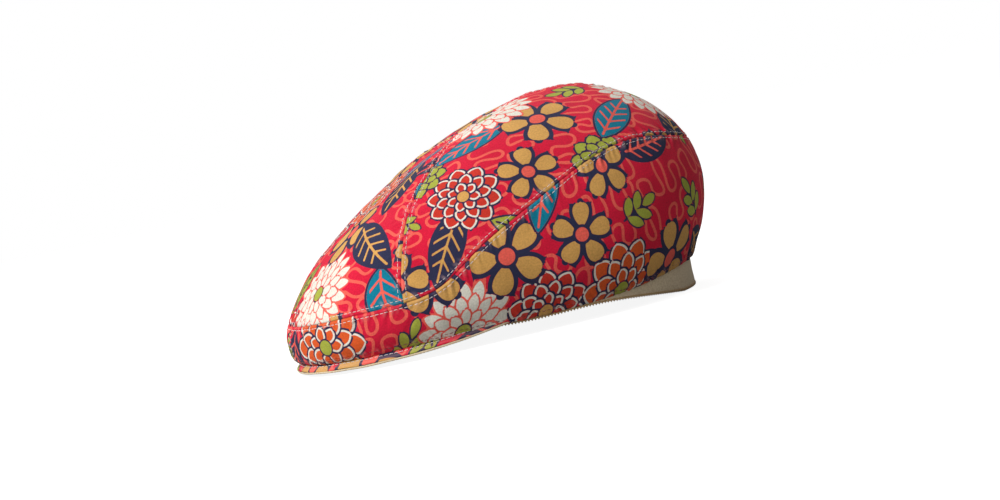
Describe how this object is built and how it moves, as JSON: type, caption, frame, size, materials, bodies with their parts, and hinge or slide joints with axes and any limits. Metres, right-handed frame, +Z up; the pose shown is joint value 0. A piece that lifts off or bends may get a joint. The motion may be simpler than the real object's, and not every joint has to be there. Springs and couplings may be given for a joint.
{
  "type": "flat cap",
  "caption": "Soft cotton flat cap with a rounded panelled crown sewn over a short stiff peak, a lining and a sweatband; it sits on a head and shades the eyes.",
  "frame": {"origin": "on the surface that the cap rests on, under the middle of its bounding box", "axes": "+Z up, -Y to the front of the cap (its peak), +X to the wearer's left; x = 0 is the plane of symmetry"},
  "size_m": [0.206, 0.2776, 0.1404],
  "materials": {
    "shell_print": "printed cotton canvas, red ground with a multicolour floral print, matt",
    "band_cotton": "beige cotton twill, matt",
    "lining_cotton": "thin beige cotton lining, matt",
    "topstitch_thread": "off-white polyester sewing thread, soft sheen",
    "edging_thread": "tan overlock thread",
    "label_weave": "plain woven label, blank",
    "peak_stiffener": "polyethylene sheet",
    "interlining": "white non-woven interlining",
    "elastic_tape": "woven elastic tape"
  },
  "bodies": {
    "root": {"front_panel": "shell_print", "top_panel_left": "shell_print", "top_panel_right": "shell_print", "side_panel_left": "shell_print", "side_panel_right": "shell_print", "peak_top_cover": "shell_print", "peak_board": "peak_stiffener", "peak_under_cover": "band_cotton", "front_lining": "lining_cotton", "top_lining_left": "lining_cotton", "top_lining_right": "lining_cotton", "side_lining_left": "lining_cotton", "side_lining_right": "lining_cotton", "lining_label": "label_weave", "crown_seam_stitching_left": "topstitch_thread", "crown_seam_stitching_right": "topstitch_thread", "front_seam_stitching": "topstitch_thread", "hem_stitching": "topstitch_thread", "top_centre_stitching": "topstitch_thread", "back_centre_stitching": "topstitch_thread", "front_centre_stitching": "topstitch_thread", "sweatband": "band_cotton", "back_elastic": "elastic_tape", "sweatband_interlining": "interlining", "sweatband_edging": "edging_thread", "sweatband_stitching": "topstitch_thread", "size_label": "label_weave", "peak_edge_stitching": "topstitch_thread", "crown_tack_stitches": "topstitch_thread"}
  },
  "joints": []
}
